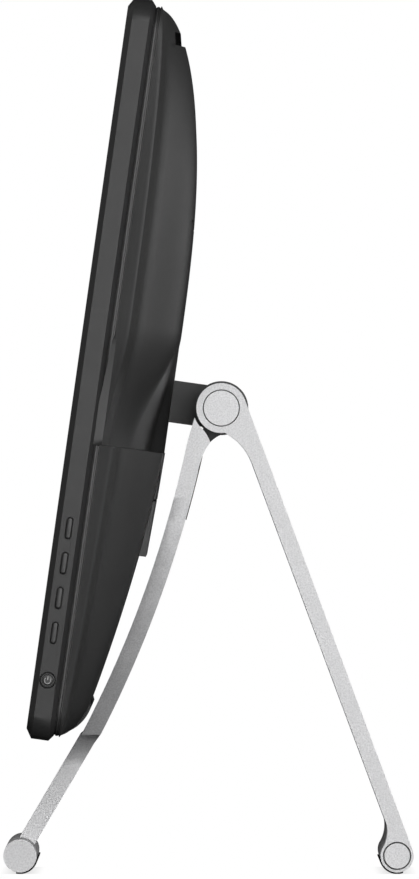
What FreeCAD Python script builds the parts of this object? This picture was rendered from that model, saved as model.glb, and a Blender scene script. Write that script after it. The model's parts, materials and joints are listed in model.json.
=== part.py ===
import FreeCAD, Part
import os
from math import asin, cos, degrees, hypot, radians, sin, sqrt

# A large digital photo frame on an A-frame easel stand. Millimetres, +Z up, floor at Z = 0,
# screen facing -Y, viewer's right at +X. The origin is on the floor, midway between the feet.
# Display pieces are drawn in panel coordinates, upright: x across, y = depth behind the front
# face, z = height above the bezel's bottom edge. on_panel() then leans them back on the hinge.

os.makedirs("parts", exist_ok=True)
V = FreeCAD.Vector
X_AXIS = V(1, 0, 0)

# Display panel
PANEL_W = 543.0
PANEL_H = 334.6
PANEL_R = 10.0
TILT = 8.0
BEZEL_D = 12.5
BEZEL_WALL = 3.0
FRONT_CHAMFER = (4.2, 2.6)
REAR_CHAMFER = (2.6, 2.1)
GLASS_INSET = 7.0
GLASS_N = (0.3, 2.3)
LEDGE_INSET = 12.0
LEDGE_N = (2.6, 5.0)
MID = PANEL_H / 2

# Rear dome of the display
COVER_INSET = 2.2
COVER_WALL = 2.4
RIM_N = 15.0
DOME_N = 43.2
DOME_TOP_U = 191.2
DOME_LOW_U = 134.4
SHOULDER_W = 7.0
SHOULDER_RISE = 0.2
LEDGE_RISE = 0.1
FLANK_W = (30.0, 78.0)
DOME_STEPS = 26
SLOT_U = (317.2, 322.8)
SLOT_N = 23.2
SLOT_HALF = 225.0
GRILLE_HALF = 195.0
RECESS_U = (DOME_LOW_U, 173.2)
RECESS_X = (62.0, 232.0)
RECESS_N = (43.4, 27.0)
POD_HALF = 95.0
POD_U = (86.4, 112.2, DOME_LOW_U)
POD_N = (41.7, 42.75, 43.1)
LIP_HALF = 150.0
BAY_X = 80.0
BAY_U = (58.0, 85.0)
BAY_N = 19.0
BAY_WALL = 1.6

# Hinge and stand
AXIS_N = 66.4
AXIS_U = 158.5
HUB_Y = 5.85
HUB_Z = 213.2
HUB_R = 11.45
SHAFT_R = 4.0
RUN_GAP = 0.05
ARM_HALF_H = 9.7
ARM_HALF_W = 28.0
KNUCKLE_X = (30.0, 46.8)
KNUCKLE_R = 12.4
STAND_HALF = 72.0
CHEEK_X = (48.0, STAND_HALF)
SHAFT_END = STAND_HALF - 3.0
FOOT_Y = 86.3
FOOT_Z = 8.25
FOOT_R = 7.6
RUBBER_R = 8.3
LEG_T = 7.1
ARCH_R = 22.6
CAP_R = 8.0
FOOT_CAP_R = 5.8

# Front leg: an upper curved blade, then a straight strut down to the foot bar
BLADE_Y = -530.0
BLADE_Z = 309.9
BLADE_R = (532.3, 540.1)
KNEE_Z = 62.8
STRUT_ANGLE = 30.5
STRUT_T = 7.6
STRUT_HALF = 28.0
NECK_HALF = 42.0
BAR_HALF = 72.0
CORNER = V(0, -5.05, -15.65)
BEND = V(0, -6.3, -12.8)

# Side buttons
BUTTON_N = 6.4
BUTTON_U = (95.5, 79.75, 64.0, 48.25)
BUTTON_L = 9.9
BUTTON_W = 2.75
POWER_U = 26.9
POWER_R = 3.55
BUTTON_X = PANEL_W / 2
BUTTON_GAP = 0.25


# ---------------------------------------------------------------- helpers

def box(x, y, z):
    """A box between the limits x, y and z, each a (low, high) pair."""
    return Part.makeBox(x[1] - x[0], y[1] - y[0], z[1] - z[0], V(x[0], y[0], z[0]))


def cyl(radius, x, y, z):
    """A round bar along X over the span x, centred on (y, z)."""
    return Part.makeCylinder(radius, x[1] - x[0], V(x[0], y, z), X_AXIS)


def tube(outer, inner, x, y, z):
    """A ring or sleeve along X."""
    return cyl(outer, x, y, z).cut(cyl(inner, (x[0] - 1, x[1] + 1), y, z))


def both(shape):
    """The shape and its mirror image across the YZ plane, as separate solids."""
    return Part.makeCompound([shape, shape.mirror(V(0, 0, 0), X_AXIS)])


def joined(*shapes):
    """One shape from several that overlap."""
    return shapes[0].fuse(list(shapes[1:])).removeSplitter()


def group(shapes):
    return Part.makeCompound(list(shapes))


def outline(inset, n, corner=PANEL_R):
    """A rounded rectangle, inset from the panel's edge, at depth n."""
    w, h = PANEL_W / 2 - inset, MID - inset
    r = max(corner - inset, 0.6)
    points = [(w - r, -h), (w, -h + r), (w, h - r), (w - r, h)]
    points += [(-x, z) for x, z in reversed(points)]
    edges = []
    k = r * (1 - sqrt(0.5))
    for i, (x, z) in enumerate(points):
        nx, nz = points[(i + 1) % len(points)]
        a, b = V(x, n, MID + z), V(nx, n, MID + nz)
        if i % 2:
            edges.append(Part.LineSegment(a, b).toShape())
        else:
            sx, sz = (1 if x + nx > 0 else -1), (1 if z + nz > 0 else -1)
            middle = V(sx * (w - k), n, MID + sz * (h - k))
            edges.append(Part.Arc(a, middle, b).toShape())
    return Part.Wire(edges)


def plate(inset, n, corner=PANEL_R):
    """A flat rounded plate over the depths n, inset from the panel's edge."""
    return Part.Face(outline(inset, n[0], corner)).extrude(V(0, n[1] - n[0], 0))


def side_profile(edges, x):
    """A closed outline in the YZ plane at x = 0, extruded over the span x."""
    face = Part.Face(Part.Wire(edges))
    face.translate(V(x[0], 0, 0))
    return face.extrude(V(x[1] - x[0], 0, 0))


def yz(y, z):
    return V(0, y, z)


def line(a, b):
    return Part.LineSegment(a, b).toShape()


def arc(a, m, b):
    return Part.Arc(a, m, b).toShape()


def around(y, z, radius, angle):
    """A point in the YZ plane at an angle counted from +Y towards +Z."""
    return yz(y + radius * cos(radians(angle)), z + radius * sin(radians(angle)))


def screw_n(x, n, u, radius, length, head_r, head_h):
    """A screw along the panel's depth: its head starts at n and the shank runs forward."""
    head = Part.makeCylinder(head_r, head_h, V(x, n, u), V(0, 1, 0))
    shank = Part.makeCylinder(radius, length + 0.5, V(x, n + 0.5, u), V(0, -1, 0))
    socket = Part.makeCylinder(head_r * 0.45, head_h * 0.6, V(x, n + head_h, u), V(0, -1, 0))
    return head.fuse(shank).cut(socket)


def on_panel(shape):
    """Moves a display piece from panel coordinates to its place on the hinge."""
    shape = shape.copy()
    shape.translate(V(0, -AXIS_N, -AXIS_U))
    shape.rotate(V(0, 0, 0), X_AXIS, -TILT)
    shape.translate(V(0, HUB_Y, HUB_Z))
    return shape


# ---------------------------------------------------------------- front of the display

def bezel_body():
    wires = [
        outline(FRONT_CHAMFER[0], 0),
        outline(0, FRONT_CHAMFER[1]),
        outline(0, BEZEL_D - REAR_CHAMFER[1]),
        outline(REAR_CHAMFER[0], BEZEL_D),
    ]
    return Part.makeLoft(wires, True, True)


def button_blank(grow):
    """The five button outlines as bars along X, enlarged by grow all round."""
    span = (BUTTON_X - 12, BUTTON_X + 5)
    r = BUTTON_W / 2 + grow
    bars = []
    for u in BUTTON_U:
        half = (BUTTON_L - BUTTON_W) / 2
        ends = [cyl(r, span, BUTTON_N, u - half), cyl(r, span, BUTTON_N, u + half)]
        middle = box(span, (BUTTON_N - r, BUTTON_N + r), (u - half, u + half))
        bars.append(joined(middle, *ends))
    bars.append(cyl(POWER_R + grow, span, BUTTON_N, POWER_U))
    return bars


def front_bezel():
    body = bezel_body()
    body = body.cut(plate(GLASS_INSET, (-1, LEDGE_N[0])))
    body = body.cut(plate(LEDGE_INSET, (-1, LEDGE_N[1] + 1)))
    body = body.cut(plate(BEZEL_WALL, (LEDGE_N[1], BEZEL_D + 1)))
    key_pocket = box((BUTTON_X - 13, BUTTON_X - BEZEL_WALL), (3.8, BEZEL_D), (15, 112))
    body = body.cut(key_pocket)
    body = body.cut(group(button_blank(BUTTON_GAP)))
    body = body.cut(box((-BUTTON_X - 1, -BUTTON_X + 5), CARD_N, CARD_U))
    return body.cut(cyl(SOCKET_R, (-BUTTON_X - 1, -BUTTON_X + 5), AUDIO_N, AUDIO_U))


def cover_glass():
    return plate(GLASS_INSET + 0.25, GLASS_N)


def glass_tape():
    ring = plate(GLASS_INSET + 0.5, (GLASS_N[1], LEDGE_N[0]))
    return ring.cut(plate(LEDGE_INSET, (0, BEZEL_D)))


SCREEN_HALF = (244.0, 140.0)


def screen_layer(grow, n):
    """One flat layer of the screen stack."""
    w, h = SCREEN_HALF[0] + grow, SCREEN_HALF[1] + grow
    return box((-w, w), n, (MID - h, MID + h))


def panel_tray():
    tray = screen_layer(3.2, (4.6, 9.4))
    return tray.cut(screen_layer(2.2, (4, 8.6)))


def led_strip():
    strip = box((-240, 240), (5.6, 7.8), (MID - 142.0, MID - 141.0))
    lamps = [box((x, x + 4), (6, 7.4), (MID - 141.2, MID - 140.4)) for x in range(-235, 235, 15)]
    return joined(strip, *lamps)


def light_sensor():
    return box((-3, 3), (2.7, 3.9), (PANEL_H - 22, PANEL_H - 18))


# ---------------------------------------------------------------- keys and side sockets

CARD_N = (6.3, 8.9)
CARD_U = (200.0, 225.0)
AUDIO_N = 7.6
AUDIO_U = 180.0
SOCKET_R = 2.3
PLUG_R = 1.78
FLANGE_X = (BUTTON_X - 4.5, BUTTON_X - 3.3)
BOARD_X = (BUTTON_X - 10.5, BUTTON_X - 9.0)


def push_button(bar, half_u, u):
    """One key: its cap through the bezel, with a flange that keeps it in."""
    cap = bar.common(box((FLANGE_X[0], BUTTON_X + 0.3), (0, 13), (0, PANEL_H)))
    flange = box(FLANGE_X, (4.2, 8.8), (u - half_u, u + half_u))
    return joined(cap, flange)


def button_board():
    return box(BOARD_X, (4.2, 9.6), (18, 106))


def button_switches():
    parts = []
    for u in BUTTON_U + (POWER_U,):
        case = box((BOARD_X[1], BOARD_X[1] + 3.2), (4.4, 8.4), (u - 2, u + 2))
        plunger = cyl(1.0, (BOARD_X[1] + 3, BOARD_X[1] + 3.8), BUTTON_N, u)
        parts.append(joined(case, plunger))
    return group(parts)


def card_slot():
    body = box((-BUTTON_X + 0.3, -BUTTON_X + 22), CARD_N, CARD_U)
    inside = box((-BUTTON_X, -BUTTON_X + 20), (CARD_N[0] + 0.4, CARD_N[1] - 0.4),
                 (CARD_U[0] + 0.5, CARD_U[1] - 0.5))
    return body.cut(inside)


def audio_socket():
    body = box((-BUTTON_X + BEZEL_WALL, -BUTTON_X + 15.5), (5.2, 10.0), (AUDIO_U - 3.2, AUDIO_U + 3.2))
    barrel = cyl(SOCKET_R, (-BUTTON_X + 0.3, -BUTTON_X + 4), AUDIO_N, AUDIO_U)
    hole = cyl(PLUG_R, (-BUTTON_X, -BUTTON_X + 14.3), AUDIO_N, AUDIO_U)
    return joined(body, barrel).cut(hole)


# ---------------------------------------------------------------- rear dome

def smooth(t):
    t = min(max(t, 0.0), 1.0)
    return t * t * (3 - 2 * t)


def spine(u):
    """Depth of the dome's centre line at height u."""
    if u > DOME_TOP_U:
        s = min((u - DOME_TOP_U) / (PANEL_H - COVER_INSET - DOME_TOP_U), 1.0)
        return RIM_N + (DOME_N - RIM_N) * (1 - s ** 2.6) ** (1 / 1.7)
    t = max(DOME_LOW_U - u, 0.0)
    depth = DOME_N - 0.0763 * t - 0.00061 * t * t
    s = min(max((18 - u) / (18 - COVER_INSET), 0.0), 1.0)
    return RIM_N + (depth - RIM_N) * (1 - s ** 2.2) ** (1 / 1.7)


def flank(e):
    """Share of the dome's depth at e from its side: a shoulder, a ledge, then a raised middle."""
    s = min(e / SHOULDER_W, 1.0)
    rise = SHOULDER_RISE * sqrt(1 - (1 - s) ** 2)
    rise += LEDGE_RISE * smooth(e / FLANK_W[0])
    middle = 1 - SHOULDER_RISE - LEDGE_RISE
    return rise + middle * smooth((e - FLANK_W[0]) / (FLANK_W[1] - FLANK_W[0]))


def dome_section(u, half, drop):
    """A closed cross-section of the dome at height u, as wide as half on each side."""
    insets = [0, 0.25, 0.9, 2, 3.6, 5.4, 7.4, 12, 20, 29, 36, 43, 50, 57, 64, 71, 79, 100, 160]
    xs = [e - half for e in insets] + [0] + [half - e for e in reversed(insets)]
    lift = spine(u) - RIM_N
    points = [V(x, RIM_N + lift * flank(half - abs(x)) - drop, u) for x in xs]
    stations = [0.0]
    for x, y in zip(xs, xs[1:]):
        slant = (DOME_N - RIM_N) * abs(flank(half - abs(x)) - flank(half - abs(y)))
        stations.append(stations[-1] + hypot(y - x, slant))
    curve = Part.BSplineCurve()
    curve.interpolate(Points=points, Parameters=stations)
    low_a, low_b = V(xs[0], BEZEL_D, u), V(xs[-1], BEZEL_D, u)
    return Part.Wire([curve.toShape(), line(points[-1], low_b), line(low_b, low_a), line(low_a, points[0])])


def dome_solid(drop, inset):
    """The filled dome, lowered by drop and drawn in by inset, with rounded corners."""
    low, high = COVER_INSET + inset, PANEL_H - COVER_INSET - inset
    radius = PANEL_R - inset
    sections = []
    for i in range(DOME_STEPS + 1):
        u = low + (high - low) * (1 - cos(radians(180 * i / DOME_STEPS))) / 2
        near = max(radius - min(u - low, high - u), 0)
        half = PANEL_W / 2 - COVER_INSET - inset - radius + sqrt(radius ** 2 - near ** 2)
        sections.append(dome_section(u, half, drop))
    return Part.makeLoft(sections, True, True)


def recess_wedge(drop, grow):
    """Side scoops that let the stand's cheeks come close to the dome."""
    shapes = []
    for side in (1, -1):
        x0, x1 = side * (RECESS_X[0] - grow), side * (RECESS_X[1] + grow)
        corners = [V(x0, RECESS_N[0] - drop, 0), V(x1, RECESS_N[1] - drop, 0), V(x1, 80, 0), V(x0, 80, 0)]
        face = Part.Face(Part.makePolygon(corners + corners[:1]))
        face.translate(V(0, 0, RECESS_U[0] - grow))
        shapes.append(face.extrude(V(0, 0, RECESS_U[1] - RECESS_U[0] + 2 * grow)))
    return group(shapes)


def lip_profile(x):
    """The speaker lip along the dome's bottom edge."""
    a, b, c = yz(25.6, 17.4), yz(26.6, 15.0), yz(17.0, 2.9)
    d, e = yz(15.6, 4.2), yz(23.2, 16.6)
    edges = [line(a, b), arc(b, yz(23.4, 8.3), c), line(c, d), arc(d, yz(20.8, 9.2), e), line(e, a)]
    return side_profile(edges, x)


def bottom_grille():
    lip = lip_profile((-LIP_HALF, LIP_HALF))
    slots = [box((x, x + 3), (12, 30), (7.5, 13.5)) for x in range(-138, 136, 6) if abs(x + 1.5) > 45]
    return lip.cut(group(slots))


def arm_window(grow):
    half = ARM_HALF_H + grow
    w = ARM_HALF_W + grow
    return box((-w, w), (20, 60), (AXIS_U - half, AXIS_U + half))


def bay_blank():
    w = BAY_X + BAY_WALL
    return box((-w, w), (BAY_N - BAY_WALL, 60), (BAY_U[0] - BAY_WALL, BAY_U[1] + BAY_WALL))


def bay_space():
    return box((-BAY_X, BAY_X), (BAY_N, 60), BAY_U)


def rear_cover(dome):
    inside = dome_solid(COVER_WALL, COVER_WALL)
    inside = inside.cut(recess_wedge(COVER_WALL, COVER_WALL))
    shell = dome.cut(recess_wedge(0, 0)).cut(inside)
    shell = shell.cut(box((-SLOT_HALF, SLOT_HALF), (SLOT_N - 1, 60), SLOT_U))
    shell = shell.cut(lip_profile((-LIP_HALF, LIP_HALF)))
    shell = shell.cut(arm_window(0.6))
    return shell.cut(bay_blank())


def vent_grille():
    """The slotted strip at the bottom of the top vent channel."""
    strip = box((-GRILLE_HALF, GRILLE_HALF), (SLOT_N - 2.6, SLOT_N - 1.0), SLOT_U)
    slots = [box((x, x + 7), (0, 60), (SLOT_U[0] + 1.2, SLOT_U[1] - 1.2)) for x in range(-189, 185, 10)]
    return strip.cut(group(slots))


def connector_bay(dome):
    tub = bay_blank().common(dome).cut(bay_space())
    return tub.cut(group(socket_windows()))


def pod_piece(u, n, dome):
    """Part of the raised rear cover, lying on the dome."""
    edges = [line(yz(30, u[0]), yz(n[0], u[0])), line(yz(n[0], u[0]), yz(n[1], u[1])),
             line(yz(n[1], u[1]), yz(30, u[1])), line(yz(30, u[1]), yz(30, u[0]))]
    return side_profile(edges, (-POD_HALF, POD_HALF)).cut(dome)


def hinge_cover(dome):
    cover = pod_piece((POD_U[1] + 0.4, POD_U[2]), (POD_N[1] + 0.1, POD_N[2] + 0.35), dome)
    return cover.cut(group(cover_screws()))


def service_cover(dome):
    return pod_piece((POD_U[0], POD_U[1]), (POD_N[0], POD_N[1]), dome)


def cover_screws():
    return [screw_n(x, 40.4, 124, 1.4, 6, 2.6, 1.5) for x in (-75, 75)]


# ---------------------------------------------------------------- inside the display

CHASSIS_N = (10.4, 11.4)
ARM_FOOT_N = 14.8
BOARD_N = (17.4, 19.0)
BOARD_U = (90.0, 136.0)
SOCKETS = [(-62, 9.0, 11.0), (-34, 15.2, 6.0), (-6, 13.4, 5.8), (14, 13.4, 5.8)]
SOCKET_U = (BAY_U[1] + 0.3, 99.0)


def chassis_screws():
    spots = [(x, u) for u in (14, PANEL_H - 14) for x in (-250, -90, 90, 250)]
    return [screw_n(x, CHASSIS_N[1], u, 1.5, 4.8, 3.0, 1.8) for x, u in spots]


def chassis_plate():
    sheet = plate(6.5, CHASSIS_N)
    windows = []
    for x in (-200, -131, 131, 200):
        for u in ((75, 150), (185, 280)):
            windows.append(box((x - 32, x + 32), (0, 20), u))
    windows += [box((x - 30, x + 30), (0, 20), (215, 290)) for x in (-40, 40)]
    sheet = sheet.cut(group(windows))
    sheet = sheet.cut(box((BUTTON_X - 14, BUTTON_X), (0, 20), (15, 112)))
    bosses = [Part.makeCylinder(3.0, BOARD_N[0] - CHASSIS_N[1], V(x, CHASSIS_N[1], u), V(0, 1, 0))
              for x, u in board_spots()]
    sheet = joined(sheet, *bosses)
    return sheet.cut(group(chassis_screws() + board_screws() + arm_screws()))


def screen_posts():
    """Bezel bosses that take the chassis screws."""
    return [Part.makeCylinder(3.5, CHASSIS_N[0] - LEDGE_N[1] + 0.5, V(x, LEDGE_N[1] - 0.5, u), V(0, 1, 0))
            for u in (14, PANEL_H - 14) for x in (-250, -90, 90, 250)]


def board_spots():
    return [(x, u) for x in (-88, 88) for u in (BOARD_U[0] + 5, BOARD_U[1] - 5)]


def board_screws():
    return [screw_n(x, BOARD_N[1], u, 1.3, 5, 2.5, 1.5) for x, u in board_spots()]


def main_board():
    board = box((-95, 95), BOARD_N, BOARD_U)
    chips = [box((30, 52), (BOARD_N[1], 20.4), (104, 126)), box((58, 70), (BOARD_N[1], 20.2), (106, 116)),
             box((58, 70), (BOARD_N[1], 20.2), (118, 128)), box((-30, -16), (BOARD_N[1], 20.6), (108, 118))]
    coils = [Part.makeCylinder(3.2, 6, V(x, BOARD_N[1], 124), V(0, 1, 0)) for x in (-70, -60, -50)]
    return joined(board, *chips, *coils).cut(group(board_screws()))


def heat_sink():
    base = box((26, 56), (20.4, 22.2), (101, 129))
    fins = [box((x, x + 1.2), (22, 28), (101, 129)) for x in range(26, 56, 4)]
    return joined(base, *fins)


def wireless_module():
    board = box((-92, -76), (BOARD_N[1], 20.0), (106, 122))
    can = box((-90, -78), (20.0, 22.0), (108, 119))
    return joined(board, can)


def socket_windows():
    cuts = []
    for x, w, h in SOCKETS:
        cuts.append(box((x - w / 2, x + w / 2), (BOARD_N[1], BOARD_N[1] + h), (84, 88)))
    return cuts


def socket_shell(index, wall):
    x, w, h = SOCKETS[index]
    outer = box((x - w / 2, x + w / 2), (BOARD_N[1], BOARD_N[1] + h), SOCKET_U)
    inner = box((x - w / 2 + wall, x + w / 2 - wall), (BOARD_N[1] + wall, BOARD_N[1] + h - wall),
                (SOCKET_U[0] - 1, SOCKET_U[1] - 2))
    return outer.cut(inner)


def socket_tongue(index, half_w, height):
    x, _, h = SOCKETS[index]
    n = BOARD_N[1] + h / 2
    return box((x - half_w, x + half_w), (n - height / 2, n + height / 2),
               (SOCKET_U[0] + 1.5, SOCKET_U[1] - 1))


def power_jack():
    x, w, h = SOCKETS[0]
    n = BOARD_N[1] + h / 2
    case = box((x - w / 2, x + w / 2), (BOARD_N[1], BOARD_N[1] + h), SOCKET_U)
    bore = Part.makeCylinder(2.8, 10, V(x, n, SOCKET_U[0] - 1), V(0, 0, 1))
    pin = Part.makeCylinder(0.8, 9, V(x, n, SOCKET_U[0] + 1), V(0, 0, 1))
    return joined(case.cut(bore), pin)


def video_socket():
    return joined(socket_shell(1, 0.4), socket_tongue(1, 5.5, 0.9))


def data_sockets():
    return group(joined(socket_shell(i, 0.4), socket_tongue(i, 5.2, 1.8)) for i in (2, 3))


def speaker(side):
    case = box((150, 205), (12.2, 19.5), (20, 50))
    cone = Part.makeCylinder(11, 1.2, V(177.5, 19.5, 35), V(0, 1, 0))
    dish = Part.makeCone(9.5, 4, 3, V(177.5, 20.8, 35), V(0, -1, 0))
    whole = joined(case, cone).cut(dish)
    return whole if side > 0 else whole.mirror(V(0, 0, 0), X_AXIS)


def display_cable():
    """Flat cable from the screen's tray, through the chassis window, to the main board."""
    n = (9.6, 10.0)
    low = box((-206, -186), n, (90, 104))
    riser = box((-190, -186), (9.6, BOARD_N[1] + 0.6), (92, 102))
    top = box((-190, -95.2), (BOARD_N[1] + 0.2, BOARD_N[1] + 0.6), (92, 102))
    plug = box((-99, -91), (BOARD_N[1], BOARD_N[1] + 0.6), (104.2, 105.2))
    end = box((-99, -91), (BOARD_N[1] + 0.2, BOARD_N[1] + 0.6), (92, 105.2))
    return joined(low, riser, top, end, plug)


# ---------------------------------------------------------------- hinge arm of the display

def arm_screws():
    return [screw_n(x, ARM_FOOT_N, AXIS_U + dz, 2.0, 4.2, 3.8, 2.2) for x in (-36, 36) for dz in (-16, 16)]


def hinge_arm():
    """Steel bracket: a foot plate and two ears that turn on the shaft."""
    foot = box((-45, 45), (CHASSIS_N[1], ARM_FOOT_N), (AXIS_U - 22, AXIS_U + 22))
    bridge = box((-22, 22), (14, 20), (AXIS_U - 7.5, AXIS_U + 7.5))
    ears = []
    for x in ((-22, -16), (16, 22)):
        blade = box(x, (14, AXIS_N), (AXIS_U - 7.5, AXIS_U + 7.5))
        ears.append(joined(blade, cyl(8.0, x, AXIS_N, AXIS_U)))
    whole = joined(foot, bridge, *ears)
    whole = whole.cut(cyl(SHAFT_R + RUN_GAP, (-50, 50), AXIS_N, AXIS_U))
    return whole.cut(group(arm_screws()))


def hinge_arm_cover():
    """Black sleeve over the arm, rounded about the shaft."""
    def sleeve(half_w, half_h, start):
        bar = box((-half_w, half_w), (start, AXIS_N), (AXIS_U - half_h, AXIS_U + half_h))
        return joined(bar, cyl(half_h, (-half_w, half_w), AXIS_N, AXIS_U))
    shell = sleeve(ARM_HALF_W, ARM_HALF_H, DOME_N - 0.4).cut(sleeve(ARM_HALF_W - 1.8, ARM_HALF_H - 1.4, 0))
    return shell.cut(cyl(8.1, (-50, 50), AXIS_N, AXIS_U))


def friction_bushes():
    return both(tube(7.9, SHAFT_R + RUN_GAP, (22.0, 29.8), AXIS_N, AXIS_U))


def arm_clearance():
    """Room kept for the hinge arm between the stand's knuckles, in row coordinates."""
    w = KNUCKLE_X[0] - 0.1
    low = AXIS_U - ARM_HALF_H - 1.0
    space = box((-w, w), (AXIS_N - 40, AXIS_N + 12), (low, low + 40))
    return on_panel(space).fuse(cyl(ARM_HALF_H + 1.0, (-w, w), HUB_Y, HUB_Z))


# ---------------------------------------------------------------- rear leg

LEG_RUN = hypot(FOOT_Y - HUB_Y, HUB_Z - FOOT_Z)
CHORD = degrees(asin((FOOT_Y - HUB_Y) / LEG_RUN))
LEAN = CHORD - degrees(asin((HUB_R - FOOT_R) / LEG_RUN))
DOWN = yz(sin(radians(LEAN)), -cos(radians(LEAN)))
OUT = yz(cos(radians(LEAN)), sin(radians(LEAN)))
HUB = yz(HUB_Y, HUB_Z)
REAR_FOOT = yz(FOOT_Y, FOOT_Z)
FRONT_FOOT = yz(-FOOT_Y, FOOT_Z)


def rear_leg_outline():
    """Side outline: hub, straight outer edge, foot, and an inner edge that arches to the hub."""
    outer_top = HUB + OUT * HUB_R
    outer_low = REAR_FOOT + OUT * FOOT_R
    inner = HUB + OUT * (HUB_R - LEG_T)
    arch_low = inner + DOWN * 28.0
    arch_centre = arch_low - OUT * ARCH_R
    crown = yz(7.45, HUB_Z - sqrt(HUB_R ** 2 - (7.45 - HUB_Y) ** 2))
    arch_mid = arch_centre + ((crown + arch_low) * 0.5 - arch_centre).normalize() * ARCH_R
    foot_turn = inner + DOWN * (LEG_RUN - 15.0)
    boss_start = around(FOOT_Y, FOOT_Z, FOOT_R, 158)
    boss_mid = around(FOOT_Y, FOOT_Z, FOOT_R, 270)
    fillet_mid = (foot_turn + boss_start) * 0.5 + OUT * 1.3
    return [
        arc(crown, around(HUB_Y, HUB_Z, HUB_R, 120), outer_top),
        line(outer_top, outer_low),
        arc(outer_low, boss_mid, boss_start),
        arc(boss_start, fillet_mid, foot_turn),
        line(foot_turn, arch_low),
        arc(arch_low, arch_mid, crown),
    ]


def rear_leg():
    leg = side_profile(rear_leg_outline(), (-STAND_HALF, STAND_HALF))
    middle = (-CHEEK_X[0], CHEEK_X[0])
    leg = leg.cut(cyl(17.2, middle, HUB_Y, HUB_Z))
    leg = leg.cut(cyl(SHAFT_R, (-STAND_HALF, STAND_HALF), HUB_Y, HUB_Z))
    outside = STAND_HALF + 5
    leg = leg.cut(both(cyl(CAP_R + 0.5, (SHAFT_END, outside), HUB_Y, HUB_Z)))
    leg = leg.cut(both(cyl(FOOT_CAP_R + 0.7, (STAND_HALF - 2.5, outside), FOOT_Y, FOOT_Z)))
    leg = leg.cut(both(cyl(3.0, (STAND_HALF - 10, outside), FOOT_Y, FOOT_Z)))
    slot_at = HUB + OUT * (HUB_R - LEG_T / 2) + DOWN * 120.0
    slot = joined(box((-14, 14), (-10, 10), (-7, 7)),
                  Part.makeCylinder(7, 20, V(-14, -10, 0), V(0, 1, 0)),
                  Part.makeCylinder(7, 20, V(14, -10, 0), V(0, 1, 0)))
    slot.rotate(V(0, 0, 0), X_AXIS, LEAN)
    slot.translate(slot_at)
    return leg.cut(slot)


def hub_cap():
    disc = cyl(CAP_R, (STAND_HALF - 1.2, STAND_HALF), HUB_Y, HUB_Z)
    skirt = tube(CAP_R, CAP_R - 1.2, (SHAFT_END, STAND_HALF - 1.1), HUB_Y, HUB_Z)
    return joined(disc, skirt)


def foot_cap():
    disc = cyl(FOOT_CAP_R, (STAND_HALF - 2.5, STAND_HALF), FOOT_Y, FOOT_Z)
    return joined(disc, cyl(3.0, (STAND_HALF - 9, STAND_HALF - 2), FOOT_Y, FOOT_Z))


def shaft_screws():
    head = cyl(6.2, (SHAFT_END, SHAFT_END + 1.4), HUB_Y, HUB_Z)
    shank = cyl(1.8, (SHAFT_END - 9, SHAFT_END + 0.5), HUB_Y, HUB_Z)
    socket = cyl(1.3, (SHAFT_END + 0.5, SHAFT_END + 2), HUB_Y, HUB_Z)
    return both(joined(head, shank).cut(socket))


def hinge_shaft():
    rod = cyl(SHAFT_R, (-SHAFT_END, SHAFT_END), HUB_Y, HUB_Z)
    return rod.cut(both(cyl(1.8, (SHAFT_END - 9, SHAFT_END + 1), HUB_Y, HUB_Z)))


def disc_springs():
    rings = [tube(7.6 - i * 0.8, SHAFT_R + RUN_GAP, (46.9 + i * 0.55, 47.4 + i * 0.55), HUB_Y, HUB_Z)
             for i in range(2)]
    return both(group(rings))


def rubber_strip(foot, half, span):
    """A rubber strip wrapped round a foot over an angular span, trimmed flat at the floor."""
    angles = (span[0], sum(span) / 2, span[1])
    inner = [around(foot.y, foot.z, FOOT_R, a) for a in angles]
    outer = [around(foot.y, foot.z, RUBBER_R, a) for a in reversed(angles)]
    edges = [arc(*inner), line(inner[2], outer[0]), arc(*outer), line(outer[2], inner[0])]
    strip = side_profile(edges, (-half, half))
    return strip.common(box((-half, half), (-200, 200), (0, 50)))


# ---------------------------------------------------------------- front leg

def blade_point(radius, z):
    """A point of the curved blade's edge at height z."""
    return yz(BLADE_Y + sqrt(radius ** 2 - (z - BLADE_Z) ** 2), z)


def front_leg_outline():
    front, rear = BLADE_R
    tip = around(HUB_Y, HUB_Z, HUB_R + 1.5, 199.5)
    gap_end = around(HUB_Y, HUB_Z, HUB_R + 1.5, 229)
    corner, bend = HUB + CORNER, HUB + BEND
    flare = blade_point(rear, 183)
    strut = yz(-sin(radians(STRUT_ANGLE)), -cos(radians(STRUT_ANGLE)))
    across = yz(strut.z, -strut.y)
    knee_front = blade_point(front, KNEE_Z) - yz(0.7, 0)
    knee_rear = knee_front - across * STRUT_T
    run = (FRONT_FOOT - knee_front).dot(strut)
    foot_front = knee_front + strut * run
    foot_rear = knee_rear + strut * run
    return [
        arc(tip, around(HUB_Y, HUB_Z, HUB_R + 1.5, 214), gap_end),
        arc(gap_end, bend, corner),
        arc(corner, HUB + yz(-8.6, -22.0), flare),
        arc(flare, blade_point(rear, 122), blade_point(rear, KNEE_Z + 1)),
        line(blade_point(rear, KNEE_Z + 1), knee_rear),
        line(knee_rear, foot_rear),
        line(foot_rear, foot_front),
        line(foot_front, knee_front),
        line(knee_front, blade_point(front, KNEE_Z + 1)),
        arc(blade_point(front, KNEE_Z + 1), blade_point(front, 130), blade_point(front, 198)),
        line(blade_point(front, 198), tip),
    ]


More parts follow.
